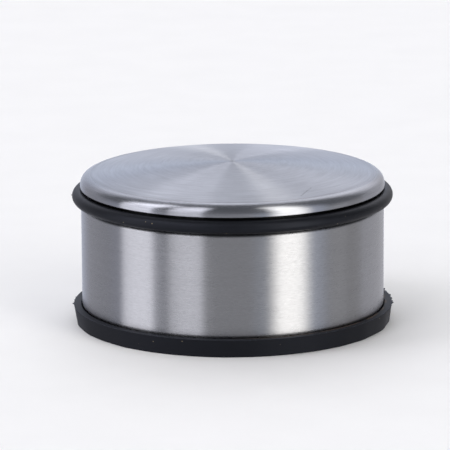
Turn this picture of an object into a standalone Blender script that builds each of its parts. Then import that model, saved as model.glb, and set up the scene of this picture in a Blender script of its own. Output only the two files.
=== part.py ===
"""Free-standing weight door stop: a brushed steel drum on a rubber foot.

Metres, +Z up. The origin is the centre of the underside, on the floor, and every turned
piece shares the Z axis. From the floor up: a rubber foot whose rim wraps the drum, a
pressed bottom plate, a cast iron ballast, a foam spacer, and a steel cap whose welded stud
runs down through them all to a nut. A rubber bumper ring sits in the groove under the cap.
Each piece keeps a small gap to the piece it rests on.
"""

import math

import bmesh
import bpy

# ---- Driving dimensions -------------------------------------------------------------------
BODY_RADIUS = 0.0500  # outside of the drum wall
OVERALL_HEIGHT = 0.0533  # at the top of the cap's dome
SHEET = 0.0008  # stainless sheet of the drum and the cap
GAP = 0.0003  # between pieces that touch

# Rubber foot
FOOT_RIM_HEIGHT = 0.0060
FOOT_RIM_RADIUS = 0.0530  # widest, just under the rim's top edge
FOOT_BASE_RADIUS = 0.0520  # narrower at the floor: the side wall tapers inwards
FOOT_EDGE = 0.0005  # rounding of the rim's and the base's outer edges
PLATFORM_RADIUS = 0.0462  # raised middle, inside the drum's rolled lip
PLATFORM_HEIGHT = 0.0057
CHANNEL_HEIGHT = 0.0046  # floor of the channel that takes the rolled lip
TREAD_DEPTH = 0.0008
TREAD_PITCH = 0.0020  # width of a tread rib, and of the groove beside it
OUTER_TREAD_RADIUS = 0.0476
OUTER_TREAD_GROOVES = 3
INNER_TREAD_RADIUS = 0.0224
INNER_TREAD_GROOVES = 3

# Drum
LIP_RADIUS = 0.0465  # inner edge of the lip rolled in under the bottom plate
DRUM_FOOT_BEND = 0.0020
SHOULDER_HEIGHT = 0.0393
SHOULDER_BEND = 0.0012
NECK_RADIUS = 0.0476  # bottom of the bumper ring's groove
NECK_ROOT_BEND = 0.0003
FLANGE_RADIUS = 0.0380  # inner edge of the flange that carries the cap
FLANGE_BEND = 0.0010

# Bumper ring
CORD_RADIUS = 0.0025
RING_RADIUS = 0.05045  # centre line of the cord

# Cap
CAP_RADIUS = 0.0503
CAP_DOME_CURVATURE = 0.2830  # radius of the sphere that the dome is part of
CAP_EDGE_WIDTH = 0.0023  # the rounded edge is nearly a quarter ellipse, this wide
CAP_EDGE_HEIGHT = 0.0040  # and this high
CAP_HEM_INSET = 0.0003  # the hem turns in a little below the widest point
CAP_HEM_DROP = 0.0003

# Bottom plate, with a raised dish for the stud's nut
PLATE = 0.0015
PLATE_RADIUS = 0.0484
DISH_MOUTH_RADIUS = 0.0115
DISH_TOP_RADIUS = 0.0100
DISH_RISE = 0.0075

# Ballast and foam
BALLAST_RADIUS = 0.0477
BALLAST_TOP = 0.0290
BALLAST_CHAMFER = 0.0008
CASTING_DRAFT = 0.0004
FOAM_RADIUS = 0.0463
FOAM_CHAMFER = 0.0010

# Stud, nut and washer, M6
STUD_RADIUS = 0.0030
STUD_HEAD_RADIUS = 0.0080
STUD_HEAD = 0.0010
STUD_END_HEIGHT = 0.0062
THREAD_END_CHAMFER = 0.0006  # on the stud and the screws
NUT_ACROSS_FLATS = 0.0100
NUT_THICKNESS = 0.0048
NUT_FACE_RADIUS = 0.00475  # flat part of the nut's two faces
NUT_CHAMFER_ANGLE = math.radians(30)
STUD_WASHER_RADIUS = 0.0060
STUD_WASHER = 0.0016

# Screws and washers, M4
SCREW_COUNT = 3
SCREW_CIRCLE = 0.0300  # radius of the circle that the screws stand on
SCREW_RADIUS = 0.0020
SCREW_LENGTH = 0.0135
SCREW_HEAD_RADIUS = 0.0040
SCREW_HEAD = 0.0018
SCREW_HEAD_CROWN = 0.0007
SOCKET_ACROSS_FLATS = 0.0025
SOCKET_DEPTH = 0.0011
SCREW_WASHER_RADIUS = 0.0050
SCREW_WASHER = 0.0008
WELL_RADIUS = 0.0056
WELL_DEPTH = 0.0039
BLIND_HOLE_END = 0.0170
DRILL_POINT_ANGLE = math.radians(118)
FIRST_SCREW_ANGLE = math.radians(90)

# Round steps
BODY_STEPS = 60
INNER_STEPS = 48
SMALL_STEPS = 24
CORD_STEPS = 14
BEND_STEPS = 3
CAP_DOME_STEPS = 6
CAP_EDGE_STEPS = 5
SHARP_ANGLE = math.radians(32)
MERGE_DISTANCE = 1e-6
CUT_CLEARANCE = 0.0010  # how far a cutter runs past the faces that it opens


# ---- Worked out from them -----------------------------------------------------------------
def dome_height(radius):
    """Height of the cap's outer face at this distance from the axis."""
    return OVERALL_HEIGHT - CAP_DOME_CURVATURE + math.sqrt(CAP_DOME_CURVATURE**2 - radius**2)


PLATE_BOTTOM = PLATFORM_HEIGHT + GAP
PLATE_TOP = PLATE_BOTTOM + PLATE
DISH_BOTTOM = PLATE_BOTTOM + DISH_RISE
BALLAST_BOTTOM = PLATE_TOP + GAP
DRUM_BOTTOM = CHANNEL_HEIGHT + GAP
FLANGE_TOP = dome_height(NECK_RADIUS) - SHEET - GAP
STUD_HEAD_TOP = dome_height(STUD_HEAD_RADIUS) - SHEET - GAP
STUD_WASHER_BOTTOM = DISH_BOTTOM - GAP - STUD_WASHER
NUT_BOTTOM = STUD_WASHER_BOTTOM - GAP - NUT_THICKNESS
FOAM_BOTTOM = BALLAST_TOP + GAP
FOAM_TOP = FLANGE_TOP - SHEET - GAP
RING_HEIGHT = SHOULDER_HEIGHT + GAP + CORD_RADIUS
WASHER_BOTTOM = WELL_DEPTH - GAP - SCREW_WASHER
SCREW_SEAT = WASHER_BOTTOM - GAP
STUD_HOLE_RADIUS = STUD_RADIUS + GAP
SCREW_HOLE_RADIUS = SCREW_RADIUS + GAP


# ---- Scene and materials ------------------------------------------------------------------
def clear_scene():
    for obj in list(bpy.data.objects):
        bpy.data.objects.remove(obj, do_unlink=True)


def new_collection(name):
    collection = bpy.data.collections.new(name)
    bpy.context.scene.collection.children.link(collection)
    return collection


def principled(name, color, metallic, roughness):
    material = bpy.data.materials.new(name)
    material.use_nodes = True
    shader = material.node_tree.nodes["Principled BSDF"]
    shader.inputs["Base Color"].default_value = (*color, 1.0)
    shader.inputs["Metallic"].default_value = metallic
    shader.inputs["Roughness"].default_value = roughness
    material.diffuse_color = (*color, 1.0)
    return material


# ---- Outlines, as (radius, height) points -------------------------------------------------
def bend(center, radii, start, end, steps=BEND_STEPS):
    """Points of an elliptical arc about center, with angles in degrees from +radius to +height."""
    points = []
    for step in range(steps + 1):
        angle = math.radians(start + (end - start) * step / steps)
        radius = center[0] + radii[0] * math.cos(angle)
        points.append((radius, center[1] + radii[1] * math.sin(angle)))
    return points


def treads(outer_radius, grooves):
    """Grooves and ribs of the foot's underside, from outer_radius inwards."""
    points = []
    for groove in range(grooves):
        outer = outer_radius - 2 * groove * TREAD_PITCH
        inner = outer - TREAD_PITCH
        points += [(outer, 0.0), (outer, TREAD_DEPTH), (inner, TREAD_DEPTH), (inner, 0.0)]
    return points


def washer_outline(outer_radius, hole_radius, thickness):
    return [
        (hole_radius, thickness),
        (outer_radius, thickness),
        (outer_radius, 0.0),
        (hole_radius, 0.0),
    ]


# ---- Modelling tools ----------------------------------------------------------------------
def turned(name, outline, steps, collection, material=None, closed=False):
    """A solid or sheet turned about Z from an outline that runs down its outer side."""
    mesh = bpy.data.meshes.new(name)
    edges = [(index, index + 1) for index in range(len(outline) - 1)]
    if closed:
        edges.append((len(outline) - 1, 0))
    mesh.from_pydata([(radius, 0.0, height) for radius, height in outline], edges, [])
    if material:
        mesh.materials.append(material)
    obj = bpy.data.objects.new(name, mesh)
    collection.objects.link(obj)
    screw = obj.modifiers.new("Turn", "SCREW")
    screw.axis = "Z"
    screw.angle = math.tau
    screw.steps = steps
    screw.render_steps = steps
    screw.use_merge_vertices = True
    screw.merge_threshold = MERGE_DISTANCE
    return obj


def thicken(obj, thickness):
    """Gives a turned sheet its thickness, on the side away from its faces."""
    solidify = obj.modifiers.new("Thickness", "SOLIDIFY")
    solidify.thickness = thickness
    solidify.offset = -1.0
    solidify.use_even_offset = True


def hexagon(name, across_flats, bottom, top, collection):
    """A six-sided prism standing on the Z axis."""
    mesh = bpy.data.meshes.new(name)
    prism = bmesh.new()
    radius = across_flats / math.sqrt(3)
    bmesh.ops.create_cone(
        prism, cap_ends=True, segments=6, radius1=radius, radius2=radius, depth=top - bottom
    )
    bmesh.ops.translate(prism, verts=prism.verts, vec=(0.0, 0.0, (bottom + top) / 2))
    prism.to_mesh(mesh)
    prism.free()
    obj = bpy.data.objects.new(name, mesh)
    collection.objects.link(obj)
    return obj


def cut(obj, cutter, operation="DIFFERENCE"):
    boolean = obj.modifiers.new(f"{operation.title()} {cutter.name}", "BOOLEAN")
    boolean.operation = operation
    boolean.solver = "EXACT"
    boolean.object = cutter
    cutter.hide_render = True
    cutter.display_type = "WIRE"


def screw_places():
    """The (x, y) of each foot screw, with its number."""
    for number in range(SCREW_COUNT):
        angle = FIRST_SCREW_ANGLE + math.tau * number / SCREW_COUNT
        yield number + 1, SCREW_CIRCLE * math.cos(angle), SCREW_CIRCLE * math.sin(angle)


def cut_at_screws(obj, name, outline, cutters):
    """Cuts the same turned hole, wide end down, at each foot screw."""
    for number, x, y in screw_places():
        cutter = turned(f"{name}_{number}", outline, SMALL_STEPS, cutters)
        cutter.location = (x, y, 0.0)
        cut(obj, cutter)


def settle(obj):
    """Applies the modifiers, then shades the round faces smooth and keeps the real edges."""
    bpy.context.view_layer.update()
    evaluated = obj.evaluated_get(bpy.context.evaluated_depsgraph_get())
    mesh = bpy.data.meshes.new_from_object(evaluated)
    obj.modifiers.clear()
    obj.data = mesh
    mesh.shade_smooth()
    mesh.set_sharp_from_angle(angle=SHARP_ANGLE)


# ---- The pieces ---------------------------------------------------------------------------
def make_rubber_foot(parts, cutters, rubber):
    """Tray with treads underneath, three screw wells, and a rim around the drum."""
    channel_radius = BODY_RADIUS + GAP
    rim_corner = (FOOT_RIM_RADIUS - FOOT_EDGE, FOOT_RIM_HEIGHT - FOOT_EDGE)
    base_corner = (FOOT_BASE_RADIUS - FOOT_EDGE, FOOT_EDGE)
    edge = (FOOT_EDGE, FOOT_EDGE)
    outline = [
        (0.0, PLATFORM_HEIGHT),
        (PLATFORM_RADIUS, PLATFORM_HEIGHT),
        (PLATFORM_RADIUS, CHANNEL_HEIGHT),
        (channel_radius, CHANNEL_HEIGHT),
        (channel_radius, FOOT_RIM_HEIGHT),
        *bend(rim_corner, edge, 90, 0, 2),
        *bend(base_corner, edge, 0, -90, 2),
        *treads(OUTER_TREAD_RADIUS, OUTER_TREAD_GROOVES),
        *treads(INNER_TREAD_RADIUS, INNER_TREAD_GROOVES),
        (0.0, 0.0),
    ]
    foot = turned("rubber_foot", outline, BODY_STEPS, parts, rubber)
    stepped_hole = [
        (0.0, PLATFORM_HEIGHT + CUT_CLEARANCE),
        (SCREW_HOLE_RADIUS, PLATFORM_HEIGHT + CUT_CLEARANCE),
        (SCREW_HOLE_RADIUS, WELL_DEPTH),
        (WELL_RADIUS, WELL_DEPTH),
        (WELL_RADIUS, -CUT_CLEARANCE),
        (0.0, -CUT_CLEARANCE),
    ]
    cut_at_screws(foot, "screw_well", stepped_hole, cutters)
    return foot


def make_side_shell(parts, steel):
    """Drum wall with the ring's groove and cap flange above, and a rolled lip below."""
    flange_bend = (NECK_RADIUS - FLANGE_BEND, FLANGE_TOP - FLANGE_BEND)
    root_bend = (NECK_RADIUS + NECK_ROOT_BEND, SHOULDER_HEIGHT + NECK_ROOT_BEND)
    shoulder_bend = (BODY_RADIUS - SHOULDER_BEND, SHOULDER_HEIGHT - SHOULDER_BEND)
    foot_bend = (BODY_RADIUS - DRUM_FOOT_BEND, DRUM_BOTTOM + DRUM_FOOT_BEND)
    outline = [
        (FLANGE_RADIUS, FLANGE_TOP),
        *bend(flange_bend, (FLANGE_BEND, FLANGE_BEND), 90, 0),
        *bend(root_bend, (NECK_ROOT_BEND, NECK_ROOT_BEND), 180, 270, 2),
        *bend(shoulder_bend, (SHOULDER_BEND, SHOULDER_BEND), 90, 0),
        *bend(foot_bend, (DRUM_FOOT_BEND, DRUM_FOOT_BEND), 0, -90),
        (LIP_RADIUS, DRUM_BOTTOM),
    ]
    shell = turned("side_shell", outline, BODY_STEPS, parts, steel)
    thicken(shell, SHEET)
    return shell


def make_top_cap(parts, steel):
    """Drawn cap: a shallow dome, a rounded edge that carries its slope on, and a short hem."""
    dome_edge = CAP_RADIUS - CAP_EDGE_WIDTH
    dome_angle = math.asin(dome_edge / CAP_DOME_CURVATURE)
    sphere_center = (0.0, OVERALL_HEIGHT - CAP_DOME_CURVATURE)
    sphere = (CAP_DOME_CURVATURE, CAP_DOME_CURVATURE)
    edge_center = (dome_edge, dome_height(dome_edge) - CAP_EDGE_HEIGHT)
    edge = (CAP_EDGE_WIDTH, CAP_EDGE_HEIGHT)
    edge_start = math.degrees(math.atan2(CAP_EDGE_HEIGHT, CAP_EDGE_WIDTH * math.tan(dome_angle)))
    outline = [
        *bend(sphere_center, sphere, 90, 90 - math.degrees(dome_angle), CAP_DOME_STEPS)[:-1],
        *bend(edge_center, edge, edge_start, 0, CAP_EDGE_STEPS),
        (CAP_RADIUS - CAP_HEM_INSET, edge_center[1] - CAP_HEM_DROP),
    ]
    cap = turned("top_cap", outline, BODY_STEPS, parts, steel)
    thicken(cap, SHEET)
    return cap


def make_bumper_ring(parts, rubber):
    """Round rubber cord in the groove under the cap."""
    cord = bend((RING_RADIUS, 0.0), (CORD_RADIUS, CORD_RADIUS), 180, -180, CORD_STEPS)[:-1]
    ring = turned("bumper_ring", cord, BODY_STEPS, parts, rubber, closed=True)
    ring.location.z = RING_HEIGHT
    return ring


def make_bottom_plate(parts, cutters, zinc):
    """Pressed plate over the drum's lip, with a raised dish around the stud."""
    outline = [
        (STUD_HOLE_RADIUS, DISH_BOTTOM + PLATE),
        (DISH_TOP_RADIUS + PLATE, DISH_BOTTOM + PLATE),
        (DISH_MOUTH_RADIUS + PLATE, PLATE_TOP),
        (PLATE_RADIUS, PLATE_TOP),
    ]
    plate = turned("bottom_plate", outline, INNER_STEPS, parts, zinc)
    thicken(plate, PLATE)
    hole = [
        (0.0, PLATE_TOP + CUT_CLEARANCE),
        (SCREW_HOLE_RADIUS, PLATE_TOP + CUT_CLEARANCE),
        (SCREW_HOLE_RADIUS, PLATE_BOTTOM - CUT_CLEARANCE),
        (0.0, PLATE_BOTTOM - CUT_CLEARANCE),
    ]
    cut_at_screws(plate, "plate_hole", hole, cutters)
    return plate


def make_ballast_weight(parts, cutters, iron):
    """Cast disc with a bore for the stud, a hollow over the dish, and three tapped holes."""
    stud_bore = STUD_HOLE_RADIUS + GAP
    dish_clearance = PLATE + 2 * GAP
    hollow_top = DISH_BOTTOM + PLATE + GAP
    outline = [
        (stud_bore, BALLAST_TOP),
        (BALLAST_RADIUS - CASTING_DRAFT - BALLAST_CHAMFER, BALLAST_TOP),
        (BALLAST_RADIUS - CASTING_DRAFT, BALLAST_TOP - BALLAST_CHAMFER),
        (BALLAST_RADIUS, BALLAST_BOTTOM + BALLAST_CHAMFER),
        (BALLAST_RADIUS - BALLAST_CHAMFER, BALLAST_BOTTOM),
        (DISH_MOUTH_RADIUS + dish_clearance, BALLAST_BOTTOM),
        (DISH_TOP_RADIUS + dish_clearance, hollow_top),
        (stud_bore, hollow_top),
    ]
    ballast = turned("ballast_weight", outline, INNER_STEPS, parts, iron, closed=True)
    drill_tip = BLIND_HOLE_END + SCREW_HOLE_RADIUS / math.tan(DRILL_POINT_ANGLE / 2)
    blind_hole = [
        (0.0, drill_tip),
        (SCREW_HOLE_RADIUS, BLIND_HOLE_END),
        (SCREW_HOLE_RADIUS, BALLAST_BOTTOM - CUT_CLEARANCE),
        (0.0, BALLAST_BOTTOM - CUT_CLEARANCE),
    ]
    cut_at_screws(ballast, "tapped_hole", blind_hole, cutters)
    return ballast


def make_foam_spacer(parts, foam):
    """Firm foam block between the ballast and the drum's flange, bored for the stud."""
    outline = [
        (STUD_HOLE_RADIUS + GAP, FOAM_TOP),
        (FOAM_RADIUS - FOAM_CHAMFER, FOAM_TOP),
        (FOAM_RADIUS, FOAM_TOP - FOAM_CHAMFER),
        (FOAM_RADIUS, FOAM_BOTTOM + FOAM_CHAMFER),
        (FOAM_RADIUS - FOAM_CHAMFER, FOAM_BOTTOM),
        (STUD_HOLE_RADIUS + GAP, FOAM_BOTTOM),
    ]
    return turned("foam_spacer", outline, INNER_STEPS, parts, foam, closed=True)


def make_cap_stud(parts, zinc):
    """Stud with a flat weld head under the cap, down to the nut in the dish."""
    outline = [
        (0.0, STUD_HEAD_TOP),
        (STUD_HEAD_RADIUS, STUD_HEAD_TOP),
        (STUD_HEAD_RADIUS, STUD_HEAD_TOP - STUD_HEAD),
        (STUD_RADIUS, STUD_HEAD_TOP - STUD_HEAD),
        (STUD_RADIUS, STUD_END_HEIGHT + THREAD_END_CHAMFER),
        (STUD_RADIUS - THREAD_END_CHAMFER, STUD_END_HEIGHT),
        (0.0, STUD_END_HEIGHT),
    ]
    return turned("cap_stud", outline, SMALL_STEPS, parts, zinc)


def make_stud_nut(parts, cutters, zinc):
    """Hexagon nut with its corners chamfered top and bottom, and a round bore."""
    nut = hexagon("stud_nut", NUT_ACROSS_FLATS, 0.0, NUT_THICKNESS, parts)
    nut.data.materials.append(zinc)
    nut.location.z = NUT_BOTTOM
    corner_radius = NUT_ACROSS_FLATS / math.sqrt(3) + CUT_CLEARANCE
    chamfer_drop = (corner_radius - NUT_FACE_RADIUS) * math.tan(NUT_CHAMFER_ANGLE)
    blank_outline = [
        (0.0, NUT_THICKNESS),
        (NUT_FACE_RADIUS, NUT_THICKNESS),
        (corner_radius, NUT_THICKNESS - chamfer_drop),
        (corner_radius, chamfer_drop),
        (NUT_FACE_RADIUS, 0.0),
        (0.0, 0.0),
    ]
    blank = turned("nut_blank", blank_outline, SMALL_STEPS, cutters)
    blank.location.z = NUT_BOTTOM
    cut(nut, blank, "INTERSECT")
    bore_outline = [
        (0.0, NUT_THICKNESS + CUT_CLEARANCE),
        (STUD_HOLE_RADIUS, NUT_THICKNESS + CUT_CLEARANCE),
        (STUD_HOLE_RADIUS, -CUT_CLEARANCE),
        (0.0, -CUT_CLEARANCE),
    ]
    bore = turned("nut_bore", bore_outline, SMALL_STEPS, cutters)
    bore.location.z = NUT_BOTTOM
    cut(nut, bore)
    return nut


def make_stud_washer(parts, zinc):
    outline = washer_outline(STUD_WASHER_RADIUS, STUD_HOLE_RADIUS, STUD_WASHER)
    washer = turned("stud_washer", outline, SMALL_STEPS, parts, zinc, closed=True)
    washer.location.z = STUD_WASHER_BOTTOM
    return washer


def make_foot_screws(parts, cutters, zinc):
    """Low-headed socket screws, heads down in the foot's wells."""
    outline = [
        (0.0, SCREW_LENGTH),
        (SCREW_RADIUS - THREAD_END_CHAMFER, SCREW_LENGTH),
        (SCREW_RADIUS, SCREW_LENGTH - THREAD_END_CHAMFER),
        (SCREW_RADIUS, 0.0),
        (SCREW_HEAD_RADIUS, 0.0),
        *bend(
            (SCREW_HEAD_RADIUS - SCREW_HEAD_CROWN, SCREW_HEAD_CROWN - SCREW_HEAD),
            (SCREW_HEAD_CROWN, SCREW_HEAD_CROWN),
            0,
            -90,
            2,
        ),
        (0.0, -SCREW_HEAD),
    ]
    screws = []
    for number, x, y in screw_places():
        screw = turned(f"foot_screw_{number}", outline, SMALL_STEPS, parts, zinc)
        screw.location = (x, y, SCREW_SEAT)
        socket = hexagon(
            f"socket_{number}",
            SOCKET_ACROSS_FLATS,
            -SCREW_HEAD - CUT_CLEARANCE,
            SOCKET_DEPTH - SCREW_HEAD,
            cutters,
        )
        socket.location = screw.location
        cut(screw, socket)
        screws.append(screw)
    return screws


def make_screw_washers(parts, zinc):
    outline = washer_outline(SCREW_WASHER_RADIUS, SCREW_HOLE_RADIUS, SCREW_WASHER)
    washers = []
    for number, x, y in screw_places():
        washer = turned(
            f"screw_washer_{number}", outline, SMALL_STEPS, parts, zinc, closed=True
        )
        washer.location = (x, y, WASHER_BOTTOM)
        washers.append(washer)
    return washers


def build():
    clear_scene()
    parts = new_collection("door_stop")
    cutters = new_collection("cutters")

    cap_steel = principled("cap_steel", (0.48, 0.49, 0.53), 1.0, 0.30)
    shell_steel = principled("shell_steel", (0.46, 0.46, 0.49), 1.0, 0.28)
    ring_rubber = principled("ring_rubber", (0.016, 0.017, 0.020), 0.0, 0.45)
    foot_rubber = principled("foot_rubber", (0.014, 0.014, 0.016), 0.0, 0.70)
    cast_iron = principled("cast_iron", (0.10, 0.10, 0.105), 0.6, 0.65)
    foam = principled("foam", (0.12, 0.12, 0.13), 0.0, 0.95)
    plate_zinc = principled("plate_zinc", (0.55, 0.57, 0.60), 1.0, 0.38)
    fastener_zinc = principled("fastener_zinc", (0.60, 0.61, 0.63), 1.0, 0.32)

    pieces = [
        make_rubber_foot(parts, cutters, foot_rubber),
        make_side_shell(parts, shell_steel),
        make_bumper_ring(parts, ring_rubber),
        make_top_cap(parts, cap_steel),
        make_bottom_plate(parts, cutters, plate_zinc),
        make_ballast_weight(parts, cutters, cast_iron),
        make_foam_spacer(parts, foam),
        make_cap_stud(parts, fastener_zinc),
        make_stud_nut(parts, cutters, fastener_zinc),
        make_stud_washer(parts, fastener_zinc),
        *make_foot_screws(parts, cutters, fastener_zinc),
        *make_screw_washers(parts, fastener_zinc),
    ]
    for piece in pieces:
        settle(piece)

    stack = bpy.data.objects.new("door_stop_axis", None)
    parts.objects.link(stack)
    for piece in pieces:
        piece.parent = stack


build()
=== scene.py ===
"""Looks of the brushed steel door stop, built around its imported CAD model.

The cap, the drum, the bumper ring and the rubber foot are replaced by finer pieces with
rounded edges, moulding flash and procedural materials. What is inside keeps its CAD shape.
Metres, +Z up, with the object standing on the floor at the origin and the camera at -Y.
"""

import math

import bpy
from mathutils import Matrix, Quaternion, Vector, noise
from mathutils.geometry import interpolate_bezier


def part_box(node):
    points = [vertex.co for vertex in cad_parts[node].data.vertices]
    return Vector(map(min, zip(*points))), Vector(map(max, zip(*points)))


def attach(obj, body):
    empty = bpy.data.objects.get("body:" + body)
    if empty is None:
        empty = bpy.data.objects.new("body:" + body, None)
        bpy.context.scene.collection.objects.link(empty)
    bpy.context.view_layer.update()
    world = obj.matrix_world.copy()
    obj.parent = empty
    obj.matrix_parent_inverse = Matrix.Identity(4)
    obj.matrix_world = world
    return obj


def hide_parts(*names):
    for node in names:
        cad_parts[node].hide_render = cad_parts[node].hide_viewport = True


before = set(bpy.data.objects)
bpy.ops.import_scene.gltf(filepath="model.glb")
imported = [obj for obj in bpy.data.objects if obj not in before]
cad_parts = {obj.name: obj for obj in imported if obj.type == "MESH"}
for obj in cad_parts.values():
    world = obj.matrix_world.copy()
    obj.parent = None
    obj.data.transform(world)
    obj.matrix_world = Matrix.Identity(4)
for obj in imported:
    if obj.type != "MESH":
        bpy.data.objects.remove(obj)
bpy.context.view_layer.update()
MM = 0.001

# ---- Sizes that the CAD model gives ----------------------------------------------------------
CAP_LOW, CAP_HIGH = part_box("top_cap")
DRUM_LOW, DRUM_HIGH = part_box("side_shell")
RING_LOW, RING_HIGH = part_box("bumper_ring")
FOOT_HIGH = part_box("rubber_foot")[1]
PLATE_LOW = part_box("bottom_plate")[0]

# ---- Sizes of the finer shapes ---------------------------------------------------------------
AROUND = 256  # steps around a turned piece
SHEET = 0.8 * MM  # thickness of the steel
GAP = 0.3 * MM  # clearance between two pieces
UNROLLED = "OFBake"  # name of the turned pieces' UV map

CAP_DOME_CURVATURE = 296.0 * MM  # radius of the sphere that the dome is part of
CAP_DOME_EDGE = 46.15 * MM  # radius where the dome starts to bend down
CAP_WALL_TOP = 45.55 * MM  # height where that bend ends in a short upright wall
CAP_WALL_BOTTOM = CAP_LOW.z + 0.64 * MM
CAP_HEM_BEND = 0.30 * MM
CAP_SLOPE_KEPT = 0.38  # how far the bend follows the dome's slope, as a share of its width
CAP_UPRIGHT_KEPT = 0.86  # how far it follows the wall, as a share of its height

DRUM_FOOT_BEND = 1.9 * MM
SHOULDER_BEND = 1.1 * MM
SHOULDER_HEIGHT = RING_LOW.z + 0.1 * MM
CORD_RADIUS = (RING_HIGH.z - RING_LOW.z) / 2
CORD_SQUASH = 0.25 * MM  # the stretched cord is this much flatter than its radius, above and below
NECK_RADIUS = RING_HIGH.x - 2 * CORD_RADIUS - GAP
FLANGE_RADIUS = 38.0 * MM  # inner edge of the drum's top flange
FLANGE_BEND = 1.0 * MM
LIP_RADIUS = 46.5 * MM  # inner edge of the lip turned in at the drum's foot

FOOT_RIM_INSIDE = DRUM_HIGH.x + GAP
FOOT_RIM_RADIUS = 52.8 * MM
FOOT_RIM_HEIGHT = FOOT_HIGH.z - 0.15 * MM
FOOT_BASE_RADIUS = 51.9 * MM
FOOT_PLATFORM_RADIUS = LIP_RADIUS - GAP
FOOT_PLATFORM_HEIGHT = PLATE_LOW.z - GAP
FOOT_CHANNEL_HEIGHT = DRUM_LOW.z - GAP
FOOT_SOFTENING = 0.18 * MM  # rounding of the foot's corners
OUTER_TREAD_RADIUS = 47.6 * MM
INNER_TREAD_RADIUS = 22.4 * MM
TREAD_GROOVES = 3  # in each of the two treads
TREAD_DEPTH = 0.8 * MM
TREAD_PITCH = 2.0 * MM
WELL_RADIUS = 5.6 * MM
WELL_DEPTH = 3.9 * MM
SCREW_HOLE_RADIUS = 2.3 * MM

FIN_STEPS = 1800
FIN_THICKNESS = 0.12 * MM
FIN_ROOT = 0.15 * MM  # how deep a fin's root is sunk
FIN_FLARE = 6  # a fin is thicker by this much for each mm that it stands out
FIN_TIP = 0.6  # thickness of a fin's tip, as a share of its root's
FOOT_FIN_LEAN = 20  # degrees upwards

# ---- Camera ----------------------------------------------------------------------------------
CAMERA_DISTANCE = 1.30
CAMERA_ELEVATION = math.radians(14.18)
CAMERA_ROLL = math.radians(0.33)
CAMERA_AIM = Vector((-0.0025, 0.0, 0.0317))
LENS = 312.5
SENSOR = 36.0


# ---- Turned shapes ---------------------------------------------------------------------------
def bend(center, radii, start, end, steps=8):
    """Points of an arc with two radii, out and up; angles in degrees from outwards to upwards."""
    points = []
    for step in range(steps + 1):
        angle = math.radians(start + (end - start) * step / steps)
        radius = center[0] + radii[0] * math.cos(angle)
        points.append((radius, center[1] + radii[1] * math.sin(angle)))
    return points


def softened(corners, radius, steps=3):
    """The same outline with each inner corner rounded off."""
    points = [corners[0]]
    for before, corner, after in zip(corners, corners[1:], corners[2:]):
        here = Vector(corner)
        to_before = Vector(before) - here
        to_after = Vector(after) - here
        reach = min(radius, to_before.length / 2.5, to_after.length / 2.5)
        a = here + to_before.normalized() * reach
        b = here + to_after.normalized() * reach
        for step in range(steps + 1):
            t = step / steps
            points.append(tuple(a * (1 - t) ** 2 + here * 2 * t * (1 - t) + b * t**2))
    points.append(corners[-1])
    return points


def sheet(outer, thickness):
    """A closed outline from the outer face of a sheet, which runs down its outer side."""
    inner = []
    for index, point in enumerate(outer):
        here = Vector(point)
        normals = []
        for neighbour, sign in ((index - 1, -1), (index + 1, 1)):
            if 0 <= neighbour < len(outer):
                along = (Vector(outer[neighbour]) - here).normalized() * sign
                normals.append(Vector((-along.y, along.x)))
        normal = sum(normals, Vector((0, 0))).normalized()
        depth = thickness / max(normal.dot(normals[0]), 0.5)
        inner.append(tuple(here - normal * depth))
    return outer + inner[::-1]


def add_piece(mesh):
    mesh.validate()
    piece = bpy.data.objects.new(mesh.name, mesh)
    bpy.context.scene.collection.objects.link(piece)
    return piece


def turned_points(outline, around, swell):
    """The points of a turned solid, and for each point of its outline, their numbers around."""
    verts, rings = [], []
    for radius, height in outline:
        if radius < 1e-7:
            rings.append([len(verts)] * around)
            verts.append((0.0, 0.0, height))
            continue
        rings.append(list(range(len(verts), len(verts) + around)))
        for step in range(around):
            angle = math.tau * step / around
            grown = radius + (swell(angle, radius, height) if swell else 0.0)
            verts.append((grown * math.cos(angle), grown * math.sin(angle), height))
    return verts, rings


def turned_faces(rings, lengths, around):
    """The faces between rings, and the UV place of each of their corners in turn."""
    faces, corners_uv = [], []
    for row in range(len(rings) - 1):
        v_upper, v_lower = (1 - lengths[row + end] / lengths[-1] for end in (0, 1))
        for step in range(around):
            after = (step + 1) % around
            left, right = step / around, (step + 1) / around
            corners = [
                (rings[row][step], left, v_upper),
                (rings[row + 1][step], left, v_lower),
                (rings[row + 1][after], right, v_lower),
                (rings[row][after], right, v_upper),
            ]
            kept = [c for n, c in enumerate(corners) if c[0] != corners[n - 1][0]]
            if len(kept) > 2:
                faces.append([index for index, _, _ in kept])
                corners_uv += [(u, v) for _, u, v in kept]
    return faces, corners_uv


def turned(name, outline, closed=False, around=AROUND, swell=None, unrolled=True):
    """A solid turned about Z. swell(angle, radius, height) gives extra radius at a point.

    Its UV map unrolls it: U runs once around, and V runs along the outline.
    """
    verts, rings = turned_points(outline, around, swell)
    path = list(outline)
    if closed:
        path.append(outline[0])
        rings.append(rings[0])
    lengths = [0.0]
    for before, here in zip(path, path[1:]):
        lengths.append(lengths[-1] + math.dist(before, here))
    faces, corners_uv = turned_faces(rings, lengths, around)
    mesh = bpy.data.meshes.new(name)
    mesh.from_pydata(verts, [], faces)
    if unrolled:
        layer = mesh.uv_layers.new(name=UNROLLED)
        for corner, uv in zip(layer.data, corners_uv):
            corner.uv = uv
    return add_piece(mesh)


def ragged(angle, waves, seed):
    """An irregular value from 0 to 1 at an angle around the axis, with this many waves a radian."""
    value = noise.noise(Vector((math.cos(angle) * waves, math.sin(angle) * waves, seed)))
    return min(max(0.5 + value, 0.0), 1.0)


def near(angle, middle, half):
    """1 at the angle middle, falling to 0 at half to either side; all in degrees."""
    off = abs((math.degrees(angle) - middle + 180) % 360 - 180)
    return max(0.0, 1 - off / half)


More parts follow.
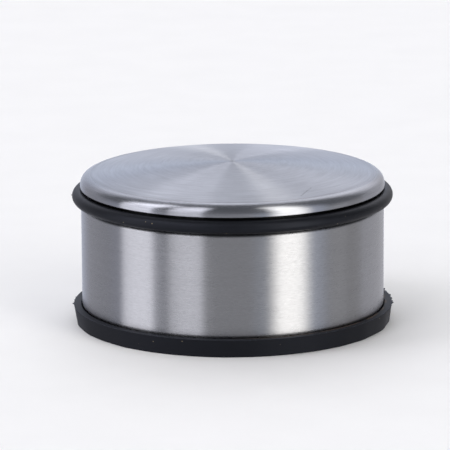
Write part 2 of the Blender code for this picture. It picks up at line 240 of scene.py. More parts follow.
def fin(name, radius, height, lean, growth):
    """Moulding flash: a thin ragged fin around the axis, rooted at this radius and height.

    It points outwards and up by lean degrees, and growth(angle) is how far it stands out.
    """
    out, up = math.cos(math.radians(lean)), math.sin(math.radians(lean))
    half = FIN_THICKNESS / 2
    section = ((-FIN_ROOT, half, 0), (0, half, 1), (0, -half, 1), (-FIN_ROOT, -half, 0))
    verts, faces = [], []
    for step in range(FIN_STEPS):
        angle = math.tau * step / FIN_STEPS
        grown = growth(angle)
        for along, side, tip in section:
            reach = along + grown * tip
            thick = side * (1 + FIN_FLARE * grown / MM) * (FIN_TIP if tip else 1.0)
            r = radius + reach * out - thick * up
            z = height + reach * up + thick * out
            verts.append((r * math.cos(angle), r * math.sin(angle), z))
    count = len(section)
    for step in range(FIN_STEPS):
        here, after = step * count, (step + 1) % FIN_STEPS * count
        for k in range(count):
            k_next = (k + 1) % count
            faces.append((here + k, here + k_next, after + k_next, after + k))
    mesh = bpy.data.meshes.new(name)
    mesh.from_pydata(verts, [], faces)
    return add_piece(mesh)


def shade(piece, material, sharp=35):
    """Smooth faces with crisp corners, whose flats stay flat in reflections."""
    piece.data.materials.clear()
    piece.data.materials.append(material)
    piece.data.shade_smooth()
    piece.data.set_sharp_from_angle(angle=math.radians(sharp))
    weighted = piece.modifiers.new("Flat faces first", "WEIGHTED_NORMAL")
    weighted.keep_sharp = True


def stands_for(piece, node):
    """Puts a finer piece in the place of a CAD node."""
    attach(piece, "root")
    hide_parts(node)


# ---- Node trees ------------------------------------------------------------------------------
class Tree:
    """Builds a node tree, where an input is a number, a colour or another node's output."""

    def __init__(self, owner):
        owner.use_nodes = True
        self.tree = owner.node_tree
        self.tree.nodes.clear()

    def node(self, kind, inputs=None, **settings):
        made = self.tree.nodes.new(kind)
        for name, value in settings.items():
            setattr(made, name, value)
        for key, value in (inputs or {}).items():
            if isinstance(value, bpy.types.NodeSocket):
                self.tree.links.new(value, made.inputs[key])
            else:
                made.inputs[key].default_value = value
        return made

    def math(self, operation, *values, clamp=False):
        inputs = dict(enumerate(values))
        made = self.node("ShaderNodeMath", inputs, operation=operation, use_clamp=clamp)
        return made.outputs[0]

    def add(self, *values):
        total = values[0]
        for value in values[1:]:
            total = self.math("ADD", total, value)
        return total

    def times(self, *values):
        total = values[0]
        for value in values[1:]:
            total = self.math("MULTIPLY", total, value)
        return total

    def vector_math(self, operation, *values):
        made = self.node("ShaderNodeVectorMath", dict(enumerate(values)), operation=operation)
        return made.outputs[0]

    def dot(self, a, b):
        made = self.node("ShaderNodeVectorMath", {0: a, 1: b}, operation="DOT_PRODUCT")
        return made.outputs["Value"]

    def scaled(self, vector, factor):
        made = self.node("ShaderNodeVectorMath", {0: vector, "Scale": factor}, operation="SCALE")
        return made.outputs[0]

    def vector(self, x, y, z):
        made = self.node("ShaderNodeCombineXYZ", {"X": x, "Y": y, "Z": z})
        return made.outputs[0]

    def ramp(self, value, low, high, out_low=0.0, out_high=1.0):
        """Smooth step of value from low to high."""
        inputs = {
            "Value": value,
            "From Min": low,
            "From Max": high,
            "To Min": out_low,
            "To Max": out_high,
        }
        made = self.node("ShaderNodeMapRange", inputs, interpolation_type="SMOOTHSTEP")
        return made.outputs["Result"]

    def noise(self, vector, scale=1.0, detail=2.0, rough=0.5):
        inputs = {"Vector": vector, "Scale": scale, "Detail": detail, "Roughness": rough}
        return self.node("ShaderNodeTexNoise", inputs).outputs[0]

    def mix(self, factor, a, b):
        made = self.node("ShaderNodeMix", data_type="RGBA")
        for socket, value in ((made.inputs[0], factor), (made.inputs[6], a), (made.inputs[7], b)):
            if isinstance(value, bpy.types.NodeSocket):
                self.tree.links.new(value, socket)
            else:
                socket.default_value = value
        return made.outputs[2]

    def place(self):
        """The place, its height and radius, and the cosine and sine of its angle around the axis."""
        coords = self.node("ShaderNodeTexCoord").outputs["Object"]
        split = self.node("ShaderNodeSeparateXYZ", {0: coords})
        x, y, z = split.outputs
        square = self.add(self.times(x, x), self.times(y, y))
        radius = self.math("SQRT", self.math("MAXIMUM", square, 1e-10))
        cosine = self.math("DIVIDE", x, radius)
        sine = self.math("DIVIDE", y, radius)
        return coords, z, radius, cosine, sine

    def surface(self, shader):
        self.node("ShaderNodeOutputMaterial", {"Surface": shader.outputs[0]})


# ---- Materials -------------------------------------------------------------------------------
# Sizes of what is drawn on the surfaces. A darkened colour is mixed with BLACK.
BLACK = (0.0, 0.0, 0.0, 1.0)
LINE_WIDTHS = (0.16 * MM, 0.45 * MM, 1.3 * MM)  # of hair, strand and band
LINE_DETAILS = (2.0, 2.0, 1.0)  # octaves of their noise
CALM_MARGIN = 5.0 * MM  # over which brushing fades towards a bend
PAINTED_PIP = (0.2 * MM, 1.6 * MM)  # radii between which the painted dark pip at the centre of the brushing fades
PAINTED_AXIS_SHADE = (4.0 * MM, 38.0 * MM)  # radii between which the painted shade towards the axis fades, so the steel gets paler outwards
STEEL_DUST = (0.70, 0.66, 0.56, 1.0)
RUBBER_DUST = (0.27, 0.22, 0.14, 1.0)
RUBBER_GRIME = (0.085, 0.060, 0.042, 1.0)
RUBBER_BLUE = 0.35  # how blue the rubber is
RUBBER_TINT = (0.88, 0.94, 1.15, 1.0)  # of what it mirrors


def grey(value, blue=0.0):
    return (value * (1 - blue / 2), value * (1 - blue / 4), value * (1 + blue / 2), 1.0)


def centered(t, value, reach):
    """A value from 0 to 1, spread evenly from -reach to reach."""
    return t.times(t.math("SUBTRACT", value, 0.5), 2 * reach)


def dots(t, coords, scale, size, share):
    """1 in small dots: this many cells a metre, dots of this radius, in this share of the cells."""
    cells = t.node("ShaderNodeTexVoronoi", {"Vector": coords, "Scale": scale})
    pick = t.node("ShaderNodeSeparateXYZ", {0: cells.outputs["Color"]}).outputs[0]
    chosen = t.math("LESS_THAN", pick, share)
    dot = t.ramp(cells.outputs["Distance"], size * scale * 0.6, size * scale, 1.0, 0.0)
    return t.times(dot, chosen)


def scratch(t, coords, start, end):
    """1 along a broken hairline from start to end, seen from above."""
    start, end = Vector((*start, 0.0)), Vector((*end, 0.0))
    length = (end - start).length
    run = (end - start).normalized()
    offset = t.vector_math("SUBTRACT", coords, tuple(start))
    along = t.dot(offset, tuple(run))
    wander = t.times(t.math("SUBTRACT", t.noise(coords, scale=500.0), 0.5), 1.2 * MM)
    across = t.math("ABSOLUTE", t.add(t.dot(offset, (-run.y, run.x, 0.0)), wander))
    begun = t.ramp(along, 0.0, 0.15 * length)
    not_over = t.ramp(along, 0.8 * length, length, 1.0, 0.0)
    broken = t.ramp(t.noise(coords, scale=900.0), 0.35, 0.55)
    return t.times(t.ramp(across, 0.10 * MM, 0.28 * MM, 1.0, 0.0), t.times(begun, not_over), broken)


def brushing(t, spot, lengths):
    """Noise from 0 to 1 in lines around the axis, of three widths: hair, strand and band."""
    _, z, radius, cosine, sine = spot
    along_outline = t.math("SUBTRACT", radius, z)
    lines = []
    for waves, width, detail in zip(lengths, LINE_WIDTHS, LINE_DETAILS):
        x, y = t.times(cosine, waves), t.times(sine, waves)
        place = t.vector(x, y, t.times(along_outline, 1 / width))
        lines.append(t.noise(place, detail=detail, rough=0.6))
    return lines


def painted_shade_near_axis(t, radius, color):
    """The colour with painted shade towards the axis, where the brushed lines turn tightly, and a
    painted dark pip on the axis.
    """
    pip = t.ramp(radius, *PAINTED_PIP, 0.6, 1.0)
    return t.mix(t.times(t.ramp(radius, *PAINTED_AXIS_SHADE, 0.88, 1.0), pip), BLACK, color)


def painted_shade_at_bends(t, radius, color, smooth_and_shaded_beyond, painted_dark_within):
    """The colour with painted shade: darker beyond the radius smooth_and_shaded_beyond, and much
    darker within painted_dark_within.
    """
    # Painted shade: darker on the cap's bend, beyond the radius where it is smoother.
    drawn = t.ramp(radius, smooth_and_shaded_beyond - 2.0 * MM, smooth_and_shaded_beyond + 0.5 * MM, 1.0, 0.80)
    color = t.mix(drawn, BLACK, color)
    if painted_dark_within:
        # Painted shade: the colour goes nearly black within the recesses.
        bright = t.ramp(radius, painted_dark_within - 0.3 * MM, painted_dark_within + 0.3 * MM, 0.08, 1.0)
        color = t.mix(bright, BLACK, color)
    return color


def brushed_normal(t, tangent, across_lean, along_lean):
    """The surface's normal, leaning across the brushed lines and along them."""
    normal = t.node("ShaderNodeNewGeometry").outputs["Normal"]
    across = t.vector_math("CROSS_PRODUCT", normal, tangent)
    tilted = t.vector_math("ADD", normal, t.scaled(across, across_lean))
    tilted = t.vector_math("ADD", tilted, t.scaled(tangent, along_lean))
    return t.vector_math("NORMALIZE", tilted)


def brushed_steel(
    name,
    level,
    blue,
    roughness,
    tilts,
    streaks,
    lengths,
    smooth_and_shaded_beyond=1.0,
    painted_dark_within=0.0,
    calm=None,
    scratched=None,
):
    """Stainless steel brushed around the axis.

    The brushing stretches each reflection across its lines. tilts is how far the hair leans
    across its lines and the strand along them. For the hair, strand and band in turn, streaks is
    how much each varies the tone, and lengths how many waves each has a radian. The steel is
    smoother beyond the radius smooth_and_shaded_beyond, where it was drawn over a die, and its
    colour is darker there as painted shade on the bend. Within the radius painted_dark_within its
    colour is painted nearly black as shade in the recesses. It is brushed less outside the two
    heights in calm, where a wall bends. A scratch runs between the two points in scratched.
    """
    material = bpy.data.materials.new(name)
    t = Tree(material)
    spot = t.place()
    coords, z, radius, _, _ = spot
    hair, strand, band = brushing(t, spot, lengths)
    smudge = t.noise(coords, scale=45.0, detail=3.0, rough=0.55)
    lined = [centered(t, line, reach) for line, reach in zip((hair, strand, band), streaks)]
    tone = t.add(*lined, centered(t, smudge, 0.06), 0.5)
    color = t.mix(tone, grey(level * 0.6, blue), grey(level * 1.4, blue))
    # Painted shade towards the axis, and a painted dark pip on it.
    color = painted_shade_near_axis(t, radius, color)
    if scratched:
        scratched_here = t.times(scratch(t, coords, *scratched), 0.5)
        color = t.mix(scratched_here, color, grey(level * 0.4, blue))
    # Painted shade on the bend and in the recesses.
    color = painted_shade_at_bends(t, radius, color, smooth_and_shaded_beyond, painted_dark_within)
    dust = dots(t, coords, 110.0, 0.20 * MM, 0.14)
    brushed = t.ramp(radius, smooth_and_shaded_beyond - 0.6 * MM, smooth_and_shaded_beyond + 0.6 * MM, 1.0, 0.62)
    rough = t.add(centered(t, smudge, 0.025), centered(t, strand, 0.03), roughness)

    tangent = t.node("ShaderNodeTangent", direction_type="RADIAL", axis="Z").outputs[0]
    lean = t.times(centered(t, hair, tilts[0]), brushed)
    if calm:
        low, high = calm
        above = t.ramp(z, low, low + CALM_MARGIN, 0.2, 1.0)
        below = t.ramp(z, high - CALM_MARGIN, high, 1.0, 0.2)
        lean = t.times(lean, above, below)
    shader = t.node(
        "ShaderNodeBsdfPrincipled",
        {
            "Base Color": t.mix(dust, color, STEEL_DUST),
            "Metallic": t.math("SUBTRACT", 1.0, dust),
            "Roughness": t.times(rough, brushed),
            "Anisotropic": 1.0,
            "Anisotropic Rotation": 0.25,
            "Tangent": tangent,
            "Normal": brushed_normal(t, tangent, lean, centered(t, strand, tilts[1])),
        },
    )
    t.surface(shader)
    return material


def hazy_and_top_lit(t, patches, level, haze_and_top_light_level):
    """The colour of rubber whose upward faces are paler in patches, from fine dust and a painted top
    light.
    """
    tone = t.mix(patches, grey(level * 0.6, RUBBER_BLUE), grey(level * 1.4, RUBBER_BLUE))
    normal = t.node("ShaderNodeNewGeometry").outputs["Normal"]
    upward = t.node("ShaderNodeSeparateXYZ", {0: normal}).outputs["Z"]
    # Paler on upward faces: dust, and a painted top light.
    haze = t.times(t.ramp(upward, 0.3, 1.0), t.ramp(patches, 0.2, 0.6, 0.6, 1.0))
    return t.mix(haze, tone, grey(haze_and_top_light_level, RUBBER_BLUE))


def rubber(name, level, haze_and_top_light_level, roughness, shine, grain, painted_shade_within=0.0, rubbed=0.0):
    """Black moulded rubber, a little blue, with a fine grain, faint dull patches and dust.

    Its colour is darker within the radius painted_shade_within, a painted shade in the recess, and
    it is rougher there. Brown grime clings around the radius rubbed, on the +X side.
    """
    material = bpy.data.materials.new(name)
    t = Tree(material)
    coords, _, radius, cosine, _ = t.place()
    grains = t.noise(coords, scale=grain, detail=4.0, rough=0.6)
    patches = t.noise(coords, scale=120.0, detail=3.0)
    # Paler on upward faces: dust, and a painted top light.
    color = hazy_and_top_lit(t, patches, level, haze_and_top_light_level)
    off = t.math("ABSOLUTE", t.math("SUBTRACT", radius, rubbed))
    clinging = t.ramp(off, 0.2 * MM, 0.6 * MM, 1.0, 0.0)
    grime = t.times(clinging, t.ramp(patches, 0.42, 0.55), t.ramp(cosine, -0.1, 0.4))
    color = t.mix(grime, color, RUBBER_GRIME)
    # Painted shade: the rubber's colour is darker within the recess.
    unshaded = t.ramp(radius, painted_shade_within - 0.6 * MM, painted_shade_within + 0.2 * MM)
    color = t.mix(unshaded, grey(level * 0.3), color)
    dust = t.times(dots(t, coords, 420.0, 0.24 * MM, 0.35), t.ramp(patches, 0.50, 0.60), 0.8)
    color = t.mix(dust, color, RUBBER_DUST)
    rough = t.add(t.times(t.math("SUBTRACT", patches, 0.5), 0.15), roughness)
    rough = t.add(rough, t.times(t.math("SUBTRACT", 1.0, unshaded), 0.4))
    bump = t.node("ShaderNodeBump", {"Strength": 0.6, "Distance": 0.02 * MM, "Height": grains})
    shader = t.node(
        "ShaderNodeBsdfPrincipled",
        {
            "Base Color": color,
            "Roughness": rough,
            "Specular IOR Level": shine,
            "Specular Tint": RUBBER_TINT,
            "Normal": bump.outputs[0],
        },
    )
    t.surface(shader)
    return material


def cast_iron(name):
    """Rough sand-cast iron, dark and a little stained."""
    material = bpy.data.materials.new(name)
    t = Tree(material)
    coords = t.place()[0]
    sand = t.noise(coords, scale=900.0, detail=6.0, rough=0.7)
    stains = t.noise(coords, scale=60.0, detail=3.0)
    color = t.mix(stains, (0.07, 0.065, 0.062, 1.0), (0.14, 0.13, 0.125, 1.0))
    bump = t.node("ShaderNodeBump", {"Strength": 0.8, "Distance": 0.2 * MM, "Height": sand})
    shader = t.node(
        "ShaderNodeBsdfPrincipled",
        {
            "Base Color": color,
            "Metallic": 0.6,
            "Roughness": t.ramp(sand, 0.3, 0.7, 0.5, 0.8),
            "Normal": bump.outputs[0],
        },
    )
    t.surface(shader)
    return material


def zinc(name, spangle):
    """Zinc plating: a cool grey metal with faint crystals, this many a metre."""
    material = bpy.data.materials.new(name)
    t = Tree(material)
    coords = t.place()[0]
    cells = t.node("ShaderNodeTexVoronoi", {"Vector": coords, "Scale": spangle})
    crystals = t.node("ShaderNodeSeparateXYZ", {0: cells.outputs["Color"]}).outputs[0]
    haze = t.noise(coords, scale=300.0, detail=4.0)
    tone = t.add(t.times(crystals, 0.6), t.times(haze, 0.4))
    color = t.mix(tone, grey(0.48, 0.08), grey(0.62, 0.05))
    bump = t.node("ShaderNodeBump", {"Strength": 0.3, "Distance": 0.01 * MM, "Height": haze})
    shader = t.node(
        "ShaderNodeBsdfPrincipled",
        {
            "Base Color": color,
            "Metallic": 1.0,
            "Roughness": t.ramp(crystals, 0.0, 1.0, 0.28, 0.42),
            "Normal": bump.outputs[0],
        },
    )
    t.surface(shader)
    return material


def foam(name):
    """Closed-cell foam: dark, matte and full of small cells."""
    material = bpy.data.materials.new(name)
    t = Tree(material)
    coords = t.place()[0]
    cells = t.node("ShaderNodeTexVoronoi", {"Vector": coords, "Scale": 1100.0}).outputs["Distance"]
    color = t.mix(t.ramp(cells, 0.1, 0.6), (0.14, 0.14, 0.15, 1.0), (0.07, 0.07, 0.075, 1.0))
    bump = t.node("ShaderNodeBump", {"Strength": 0.8, "Distance": 0.2 * MM, "Height": cells})
    shader = t.node(
        "ShaderNodeBsdfPrincipled",
        {
            "Base Color": color,
            "Roughness": t.ramp(cells, 0.0, 0.6, 0.85, 0.98),
            "Normal": bump.outputs[0],
        },
    )
    t.surface(shader)
    return material


# ---- The pieces that replace CAD nodes -------------------------------------------------------
def rounded(radius, height, bend_radius, start, end):
    """Points of a round bend about this radius and height, from angle start to end in degrees."""
    return bend((radius, height), (bend_radius, bend_radius), start, end)


def make_cap(steel):
    """A shallow dome that bends down into a short upright wall, with a hem turned in."""
    dome_angle = math.asin(CAP_DOME_EDGE / CAP_DOME_CURVATURE)
    sphere = (CAP_DOME_CURVATURE, CAP_DOME_CURVATURE)
    dome = bend((0.0, CAP_HIGH.z - CAP_DOME_CURVATURE), sphere, 90, 90 - math.degrees(dome_angle), 30)
    start = Vector((*dome[-1], 0.0))
    end = Vector((CAP_HIGH.x, CAP_WALL_TOP, 0.0))
    slope = Vector((math.cos(dome_angle), -math.sin(dome_angle), 0.0))
    reach = end - start
    leaving = start + slope * CAP_SLOPE_KEPT * reach.x
    arriving = end - Vector((0.0, CAP_UPRIGHT_KEPT * reach.y, 0.0))
    edge = [tuple(point.xy) for point in interpolate_bezier(start, leaving, arriving, end, 30)]
    hem_center = (CAP_HIGH.x - CAP_HEM_BEND, CAP_WALL_BOTTOM)
    hem = bend(hem_center, (CAP_HEM_BEND, CAP_HEM_BEND), 0, -70, 4)
    cap = turned("top_cap_fine", sheet(dome[:-1] + edge + hem, SHEET))
    shade(cap, steel)
    stands_for(cap, "top_cap")


def make_drum(steel):
    """The wall, with a neck and a flange above it for the ring, and a lip turned in below."""
    radius = DRUM_HIGH.x
    top, bottom = DRUM_HIGH.z, DRUM_LOW.z
    root_bend = GAP
    outer = [
        (FLANGE_RADIUS, top),
        *rounded(NECK_RADIUS - FLANGE_BEND, top - FLANGE_BEND, FLANGE_BEND, 90, 0),
        *rounded(NECK_RADIUS + root_bend, SHOULDER_HEIGHT + root_bend, root_bend, 180, 270),
        *rounded(radius - SHOULDER_BEND, SHOULDER_HEIGHT - SHOULDER_BEND, SHOULDER_BEND, 90, 0),
        *rounded(radius - DRUM_FOOT_BEND, bottom + DRUM_FOOT_BEND, DRUM_FOOT_BEND, 0, -90),
        (LIP_RADIUS, bottom),
    ]
    drum = turned("side_shell_fine", sheet(outer, SHEET), closed=True)
    shade(drum, steel)
    stands_for(drum, "side_shell")


def ring_flash_growth(angle):
    """A faint line at the front left, and a nub at the left."""
    line = 0.10 * near(angle, 210, 40) * ragged(angle, 14, 3.0)
    nub = 0.32 * near(angle, 181, 0.7)
    return (line + nub) * MM


def make_ring(material):
    """The stretched cord, with moulding flash around its outside."""
    center = (RING_HIGH.x - CORD_RADIUS, RING_HIGH.z - CORD_RADIUS + CORD_SQUASH)
    outline = bend(center, (CORD_RADIUS, CORD_RADIUS - CORD_SQUASH), 180, -180, 48)[:-1]
    ring = turned("bumper_ring_fine", outline, closed=True)
    shade(ring, material)
    stands_for(ring, "bumper_ring")
    flash = fin("bumper_ring_flash", RING_HIGH.x - 0.03 * MM, center[1], 0, ring_flash_growth)
    shade(flash, material)
    stands_for(flash, "bumper_ring")


def tread(outer):
    """Corners of the grooves in the foot's underside, from the radius outer inwards."""
    points = []
    for groove in range(TREAD_GROOVES):
        start = outer - 2 * groove * TREAD_PITCH
        end = start - TREAD_PITCH
        points += [(start, 0.0), (start, TREAD_DEPTH), (end, TREAD_DEPTH), (end, 0.0)]
    return points


def foot_swell(angle, radius, height):
    """The moulded rim and base edge aren't perfectly round."""
    if radius < FOOT_BASE_RADIUS - MM:
        return 0.0
    if height > FOOT_RIM_HEIGHT / 2:
        return 0.10 * MM * (ragged(angle, 3, 5.0) - 0.5)
    return 0.30 * MM * (ragged(angle, 7, 9.0) - 0.5)


def foot_flash_growth(angle):
    """Small all round, with coarse teeth at the back right and a nub at each side."""
    line = 0.34 * ragged(angle, 30, 1.0) * ragged(angle, 90, 2.0)
    teeth = 0.50 * min(1.0, 2 * near(angle, 10, 26)) * ragged(angle, 50, 4.0) ** 2
    nubs = 0.35 * near(angle, 356, 0.5) + 0.5 * near(angle, 183, 0.4)
    return (line + teeth + nubs) * MM


def cut_wells(foot):
    """Cuts a hole for each screw and a well for its head out of the foot's underside."""
    hole = [
        (0.0, FOOT_PLATFORM_HEIGHT + MM),
        (SCREW_HOLE_RADIUS, FOOT_PLATFORM_HEIGHT + MM),
        (SCREW_HOLE_RADIUS, WELL_DEPTH),
        (WELL_RADIUS, WELL_DEPTH),
        (WELL_RADIUS, -MM),
        (0.0, -MM),
    ]
    for number in (1, 2, 3):
        low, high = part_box(f"foot_screw_{number}")
        cutter = turned(f"well_cutter_{number}", hole, around=64, unrolled=False)
        cutter.location = ((low.x + high.x) / 2, (low.y + high.y) / 2, 0.0)
        cutter.hide_render = True
        well = foot.modifiers.new(f"Well {number}", "BOOLEAN")
        well.object = cutter
        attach(cutter, "root")


def make_foot(material, flash_material):
    """The tray around the drum's lower edge, with moulding flash on its rim."""
    corners = [
        (0.0, FOOT_PLATFORM_HEIGHT),
        (FOOT_PLATFORM_RADIUS, FOOT_PLATFORM_HEIGHT),
        (FOOT_PLATFORM_RADIUS, FOOT_CHANNEL_HEIGHT),
        (FOOT_RIM_INSIDE, FOOT_CHANNEL_HEIGHT),
        (FOOT_RIM_INSIDE, FOOT_RIM_HEIGHT),
        (FOOT_RIM_RADIUS, FOOT_RIM_HEIGHT),
        (FOOT_BASE_RADIUS, 0.0),
        *tread(OUTER_TREAD_RADIUS),
        *tread(INNER_TREAD_RADIUS),
        (0.0, 0.0),
    ]
    outline = softened(corners, FOOT_SOFTENING)
    foot = turned("rubber_foot_fine", outline, swell=foot_swell, unrolled=False)
    cut_wells(foot)
    shade(foot, material)
    stands_for(foot, "rubber_foot")
    root_radius, root_height = FOOT_RIM_RADIUS - 0.10 * MM, FOOT_RIM_HEIGHT - 0.07 * MM
    flash = fin("rubber_foot_flash", root_radius, root_height, FOOT_FIN_LEAN, foot_flash_growth)
    shade(flash, flash_material)
    stands_for(flash, "rubber_foot")


# ---- Studio ----------------------------------------------------------------------------------
# The sky is the room that the steel mirrors. Angles are in degrees: azimuths from the camera's
# side, positive towards +X, and elevations. A pair of numbers is where a smooth change starts
# and ends.
# Each strip is tall and upright: the azimuth of its middle, half its width and the softness of
# its edges, then its strength below and above, and its colour.
VIOLET = (0.98, 0.97, 1.03)
WALLS = (  # what the drum shows between the lights
    (-125.0, 20.0, 6.0, 0.43, 1.0, (0.99, 0.99, 1.09)),
    (158.0, 10.0, 8.0, 0.57, 1.6, VIOLET),
    (130.0, 17.0, 3.0, 0.54, 1.2, VIOLET),
    (104.0, 9.0, 4.0, 0.43, 0.43, (1.0, 0.98, 1.0)),
    (87.0, 8.0, 5.0, 0.52, 0.52, (1.0, 0.985, 1.01)),
    (23.0, 6.0, 6.0, 0.54, 0.54, (0.94, 0.98, 1.09)),
)
SOFT_BOXES = (
    (-77.6, 14.7, 2.5, 1.38, 2.5, VIOLET),
    (-41.0, 8.6, 2.5, 0.93, 1.95, VIOLET),
    (-32.6, 9.8, 3.0, 1.06, 1.95, VIOLET),
    (65.0, 9.0, 8.0, 0.66, 0.30, (0.93, 0.97, 1.10)),
    (45.0, 13.4, 7.5, 2.40, 2.6, (1.03, 1.0, 0.955)),
)
STRIP_BOTTOM = (-50.0, -20.0)
STRIP_TOP = (57.0, 73.0)
STRIP_MIDDLE = (5.0, 45.0)  # where a strip's strength changes
ROOM = (0.455, 0.452, 0.475, 1.0)  # on the camera's side
ROOM_LEFT = (0.445, 0.45, 0.515, 1.0)
ROOM_TURN = (-100.0, -10.0)  # from ROOM_LEFT to ROOM
BACKDROP_SIDE = (137.0, 191.0)  # from the room to the backdrop, on either side
BACKDROP_FOOT = (1.40, 1.43, 1.50, 1.0)
BACKDROP_FOOT_END = (-36.0, -18.0)
BACKDROP_LOW = (0.72, 0.78, 0.92, 1.0)
BACKDROP_LOW_END = (16.0, 40.0)
BACKDROP_HIGH = (2.05, 2.07, 2.22, 1.0)
DARK_ROOM = 0.17  # strength of the dark part, from overhead to the camera's side
DARK_ROOM_BACK = (0.33, 0.82)  # where it ends towards the back, as the Y of a direction
DARK_ROOM_FOOT = (0.02, 0.26)  # where it starts above the horizon, as the Z of a direction
SKY_SEEN = 0.93  # what the camera sees past the floor
TOP_LIGHT_STRENGTH = 1.3
TOP_LIGHT_WIDTH = math.radians(80)
TOP_LIGHT_TURN = (math.radians(-18), math.radians(-14), 0.0)
FLOOR_SIZE = 40.0


def strips(t, light, azimuth, elevation, wanted):
    """The light with these strips laid over it."""
    for middle, half, soft, low_strength, high_strength, color in wanted:
        off = t.math("ABSOLUTE", t.math("SUBTRACT", azimuth, middle))
        inside = t.times(
            t.ramp(off, half - soft, half + soft, 1.0, 0.0),
            t.ramp(elevation, *STRIP_TOP, 1.0, 0.0),
            t.ramp(elevation, *STRIP_BOTTOM),
        )
        strength = t.ramp(elevation, *STRIP_MIDDLE, low_strength, high_strength)
        light = t.mix(inside, light, t.scaled(color, strength))
    return light


def make_world():
    """The room, with a dark part overhead and the soft boxes in front of everything."""
    world = bpy.data.worlds.new("studio")
    bpy.context.scene.world = world
    t = Tree(world)
    coords = t.node("ShaderNodeTexCoord").outputs["Generated"]
    x, y, z = t.node("ShaderNodeSeparateXYZ", {0: coords}).outputs
    azimuth = t.math("DEGREES", t.math("ARCTAN2", x, t.math("MULTIPLY", y, -1.0)))
    elevation = t.math("DEGREES", t.math("ARCSINE", z))
    room = t.mix(t.ramp(azimuth, *ROOM_TURN), ROOM_LEFT, ROOM)
    backdrop = t.mix(t.ramp(elevation, *BACKDROP_FOOT_END), BACKDROP_FOOT, BACKDROP_LOW)
    backdrop = t.mix(t.ramp(elevation, *BACKDROP_LOW_END), backdrop, BACKDROP_HIGH)
    behind = t.ramp(t.math("ABSOLUTE", azimuth), *BACKDROP_SIDE)
    light = t.mix(behind, room, backdrop)
    light = strips(t, light, azimuth, elevation, WALLS)
    dark = t.times(t.ramp(y, *DARK_ROOM_BACK, 1.0, 0.0), t.ramp(z, *DARK_ROOM_FOOT))
    light = t.mix(dark, light, grey(DARK_ROOM, 0.1))
    light = strips(t, light, azimuth, elevation, SOFT_BOXES)
    seen = t.node("ShaderNodeLightPath").outputs["Is Camera Ray"]
    light = t.mix(seen, light, grey(SKY_SEEN))
    background = t.node("ShaderNodeBackground", {"Color": light})
    t.node("ShaderNodeOutputWorld", {"Surface": background.outputs[0]})


def make_top_light():
    """A wide soft light overhead, which the steel doesn't mirror."""
    data = bpy.data.lights.new("top_light", "SUN")
    data.energy = TOP_LIGHT_STRENGTH
    data.angle = TOP_LIGHT_WIDTH
    lamp = bpy.data.objects.new("top_light", data)
    lamp.rotation_euler = TOP_LIGHT_TURN
    lamp.visible_glossy = False
    bpy.context.scene.collection.objects.link(lamp)


def make_floor():
    """A plain pale floor, which the steel doesn't mirror."""
    bpy.ops.mesh.primitive_plane_add(size=FLOOR_SIZE)
    floor = bpy.context.object
    floor.name = "studio_floor"
    material = bpy.data.materials.new("pale_floor")
    t = Tree(material)
    coords = t.place()[0]
    mottle = t.noise(coords, scale=40.0, detail=3.0)
    color = t.mix(mottle, (0.86, 0.86, 0.86, 1.0), (0.90, 0.90, 0.90, 1.0))
    shader = t.node("ShaderNodeBsdfPrincipled", {"Base Color": color, "Roughness": 0.9})
    t.surface(shader)
    floor.data.materials.append(material)
    floor.visible_glossy = False


def make_camera():
    """The photograph's camera, on the -Y side and a little above the object."""
    camera = bpy.data.objects.new("photo_camera", bpy.data.cameras.new("photo_camera"))
    bpy.context.scene.collection.objects.link(camera)
    back = Vector((0.0, -math.cos(CAMERA_ELEVATION), math.sin(CAMERA_ELEVATION)))
    camera.location = back * CAMERA_DISTANCE
    aim = CAMERA_AIM - camera.location
    camera.rotation_mode = "QUATERNION"
    level = aim.to_track_quat("-Z", "Y")
    camera.rotation_quaternion = level @ Quaternion((0.0, 0.0, 1.0), -CAMERA_ROLL)
    camera.data.lens = LENS
    camera.data.sensor_width = SENSOR
    camera.data.clip_start = 0.05
    camera.data.clip_end = 60.0
    bpy.context.scene.camera = camera


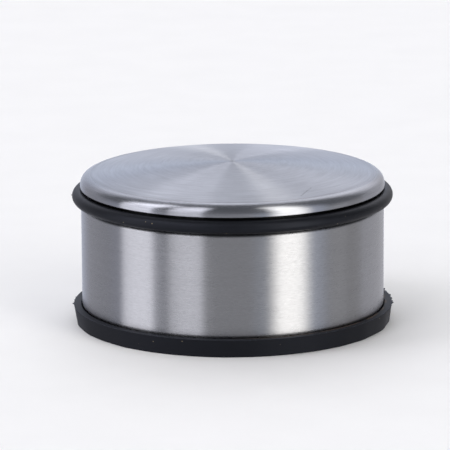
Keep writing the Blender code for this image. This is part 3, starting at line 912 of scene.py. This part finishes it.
# ---- What each piece is made of --------------------------------------------------------------
def cap_steel():
    return brushed_steel(
        "cap_brushed_steel",
        level=0.565,
        blue=0.10,
        roughness=0.34,
        tilts=(0.16, 0.012),
        streaks=(0.10, 0.17, 0.19),
        lengths=(14.0, 5.0, 3.0),
        # Smoother beyond this radius, with painted shade on the bend.
        smooth_and_shaded_beyond=CAP_DOME_EDGE + MM,
        scratched=((21.2 * MM, -40.6 * MM), (26.3 * MM, -28.0 * MM)),
    )


def drum_steel():
    return brushed_steel(
        "drum_brushed_steel",
        level=0.47,
        blue=0.05,
        roughness=0.28,
        tilts=(0.05, 0.006),
        streaks=(0.28, 0.12, 0.06),
        lengths=(34.0, 12.0, 2.0),
        # Painted shade: the neck, flange and lip under the ring, the cap and inside the foot go
        # nearly black.
        painted_dark_within=DRUM_HIGH.x - 1.5 * MM,
        calm=(DRUM_LOW.z + DRUM_FOOT_BEND, SHOULDER_HEIGHT - SHOULDER_BEND),
    )


def ring_rubber():
    return rubber(
        "ring_rubber",
        level=0.0055,
        haze_and_top_light_level=0.006,
        roughness=0.42,
        shine=0.28,
        grain=1500.0,
        # Painted shade on the ring's inner side, under the cap.
        painted_shade_within=RING_HIGH.x - 3 * MM,
    )


def foot_rubber():
    return rubber(
        "foot_rubber",
        level=0.004,
        haze_and_top_light_level=0.018,
        roughness=0.55,
        shine=0.25,
        grain=2500.0,
        # Painted shade inside the foot's rim, under the drum.
        painted_shade_within=FOOT_RIM_INSIDE,
        rubbed=FOOT_RIM_INSIDE + 0.3 * MM,
    )


def foot_flash_rubber():
    return rubber(
        "foot_flash_rubber",
        level=0.02,
        haze_and_top_light_level=0.10,
        roughness=0.6,
        shine=0.2,
        grain=2500.0,
    )


def finish_inner_nodes():
    """New materials for the CAD nodes that keep their shape."""
    plating = zinc("zinc_fasteners", 900.0)
    finishes = {
        "bottom_plate": zinc("zinc_plate", 350.0),
        "ballast_weight": cast_iron("cast_iron"),
        "foam_spacer": foam("spacer_foam"),
    }
    for name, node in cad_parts.items():
        if node.hide_render:
            continue
        node.data.materials.clear()
        node.data.materials.append(finishes.get(name, plating))


def main():
    bpy.context.scene.view_settings.view_transform = "Standard"
    make_camera()
    make_world()
    make_top_light()
    make_floor()

    make_cap(cap_steel())
    make_drum(drum_steel())
    make_ring(ring_rubber())
    make_foot(foot_rubber(), foot_flash_rubber())
    finish_inner_nodes()


main()
